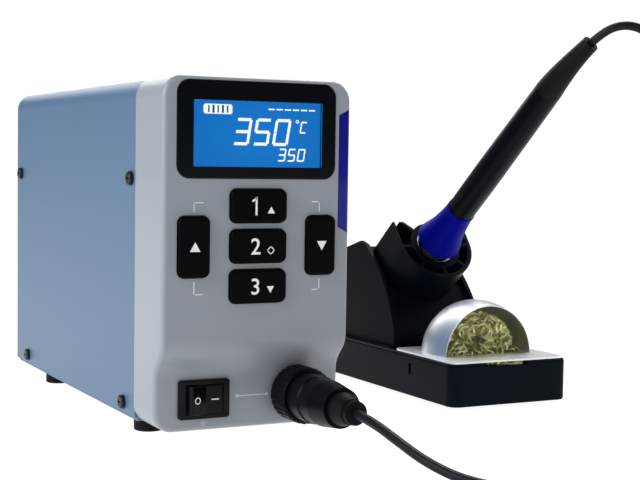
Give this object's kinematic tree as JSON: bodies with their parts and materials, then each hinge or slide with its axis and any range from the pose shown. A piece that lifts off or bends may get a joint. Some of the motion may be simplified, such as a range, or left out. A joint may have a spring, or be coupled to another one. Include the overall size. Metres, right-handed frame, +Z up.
{
  "type": "soldering iron station",
  "caption": "Soldering station: box-shaped control unit with display, keys and rocker switch, corded iron with a flared blue guard, and a stand with a tilted holder and brass wool cleaner.",
  "frame": {"origin": "on the table, under the middle of the bounding box of the whole station without its cord", "axes": "+X to the right across the control unit's front, towards the stand; +Y from the front panel to the rear panel; +Z up"},
  "size_m": [0.2442, 0.339, 0.1664],
  "materials": {
    "housing_paint": "satin light grey paint on a moulded housing",
    "cover_paint": "satin blue-grey powder paint",
    "stripe_blue": "glossy deep blue inlay",
    "gloss_black": "polished black plastic",
    "lcd_blue": "lit blue liquid crystal display",
    "key_black": "hard coated black rubber keys",
    "black_plastic": "fine-grained black moulding",
    "stand_plastic": "fine-grained black heatproof moulding",
    "black_rubber": "matt black rubber",
    "grip_blue": "soft saturated blue rubber",
    "cord_jacket": "satin black silicone jacket",
    "stainless": "polished stainless sheet",
    "bare_steel": "zinc plated steel",
    "black_screw": "black oxide",
    "brass_wire": "curled brass shavings",
    "contact_metal": "plated brass contacts",
    "laminations": "varnished laminated iron",
    "winding_tape": "yellow tape over the winding",
    "circuit_green": "green solder mask",
    "aluminium": "extruded aluminium",
    "capacitor_sleeve": "shrunk dark blue sleeve",
    "ribbon_grey": "grey ribbon cable",
    "fuse_glass": "clear glass with end caps",
    "green_plastic": "green jack collar"
  },
  "bodies": {
    "root": {"front_housing": "housing_paint", "side_stripe": "stripe_blue", "display_window": "gloss_black", "lcd_module": "lcd_blue", "display_board": "circuit_green", "key_mat": "black_rubber", "controller_chip": "black_plastic", "buzzer": "black_plastic", "switch_housing": "gloss_black", "switch_terminals": "bare_steel", "iron_socket": "black_plastic", "socket_nut": "bare_steel", "socket_pins": "contact_metal", "plug_shell": "black_plastic", "plug_boot": "black_rubber", "housing_cover": "cover_paint", "rear_panel": "cover_paint", "cover_screws": "black_screw", "chassis_tray": "cover_paint", "unit_feet": "black_rubber", "foot_screws": "bare_steel", "transformer_core": "laminations", "transformer_winding": "winding_tape", "transformer_bracket": "bare_steel", "main_board": "circuit_green", "board_spacers": "contact_metal", "heat_sink": "aluminium", "capacitors": "capacitor_sleeve", "chassis_screws": "bare_steel", "ribbon_cable": "ribbon_grey", "mains_inlet": "black_plastic", "inlet_pins": "contact_metal", "ground_jack": "green_plastic", "stand_base": "stand_plastic", "stand_feet": "black_rubber", "stand_frame": "stand_plastic", "iron_holder": "stand_plastic", "holder_liner": "stainless", "stand_screws": "black_screw", "brass_wool": "brass_wire", "iron_cord_coil": "cord_jacket", "iron_cord_run": "cord_jacket", "cord_tie": "black_rubber"},
    "key_1": {"key_1": "key_black"},
    "key_2": {"key_2": "key_black"},
    "key_3": {"key_3": "key_black"},
    "key_up": {"key_up": "key_black"},
    "key_down": {"key_down": "key_black"},
    "rocker": {"switch_rocker": "gloss_black"},
    "lock_ring": {"lock_ring": "black_plastic"},
    "iron": {"iron_handle": "black_plastic", "iron_guard": "grip_blue", "iron_boot": "black_rubber", "heater_barrel": "stainless", "barrel_nut": "bare_steel", "solder_tip": "bare_steel", "iron_cord_drop": "cord_jacket"},
    "cleaner_cover": {"cleaner_cover": "stainless"},
    "fuse_drawer": {"fuse_drawer": "black_plastic", "fuse": "fuse_glass"}
  },
  "joints": [
    {"name": "key_1_press", "type": "slide", "parent": "root", "child": "key_1", "axis": [0, 1, 0], "range_m": [0, 0.0009], "stiffness_N_per_m": 700},
    {"name": "key_2_press", "type": "slide", "parent": "root", "child": "key_2", "axis": [0, 1, 0], "range_m": [0, 0.0009], "stiffness_N_per_m": 700},
    {"name": "key_3_press", "type": "slide", "parent": "root", "child": "key_3", "axis": [0, 1, 0], "range_m": [0, 0.0009], "stiffness_N_per_m": 700},
    {"name": "key_up_press", "type": "slide", "parent": "root", "child": "key_up", "axis": [0, 1, 0], "range_m": [0, 0.0009], "stiffness_N_per_m": 700},
    {"name": "key_down_press", "type": "slide", "parent": "root", "child": "key_down", "axis": [0, 1, 0], "range_m": [0, 0.0009], "stiffness_N_per_m": 700},
    {"name": "rocker_tilt", "type": "hinge", "parent": "root", "child": "rocker", "pos_m": [-0.08215, -0.08615, 0.0163], "axis": [0, 0, 1], "range_deg": [-20, 0]},
    {"name": "lock_ring_turn", "type": "hinge", "parent": "root", "child": "lock_ring", "pos_m": [-0.04385, -0.09375, 0.0168], "axis": [0, 1, 0], "continuous": true},
    {"name": "iron_lift", "type": "slide", "parent": "root", "child": "iron", "axis": [0, -0.7771, 0.6293], "range_m": [0, 0.07]},
    {"name": "cleaner_cover_lift", "type": "slide", "parent": "root", "child": "cleaner_cover", "axis": [0, 0, 1], "range_m": [0, 0.03]},
    {"name": "fuse_drawer_slide", "type": "slide", "parent": "root", "child": "fuse_drawer", "axis": [0, 1, 0], "range_m": [0, 0.014]}
  ]
}
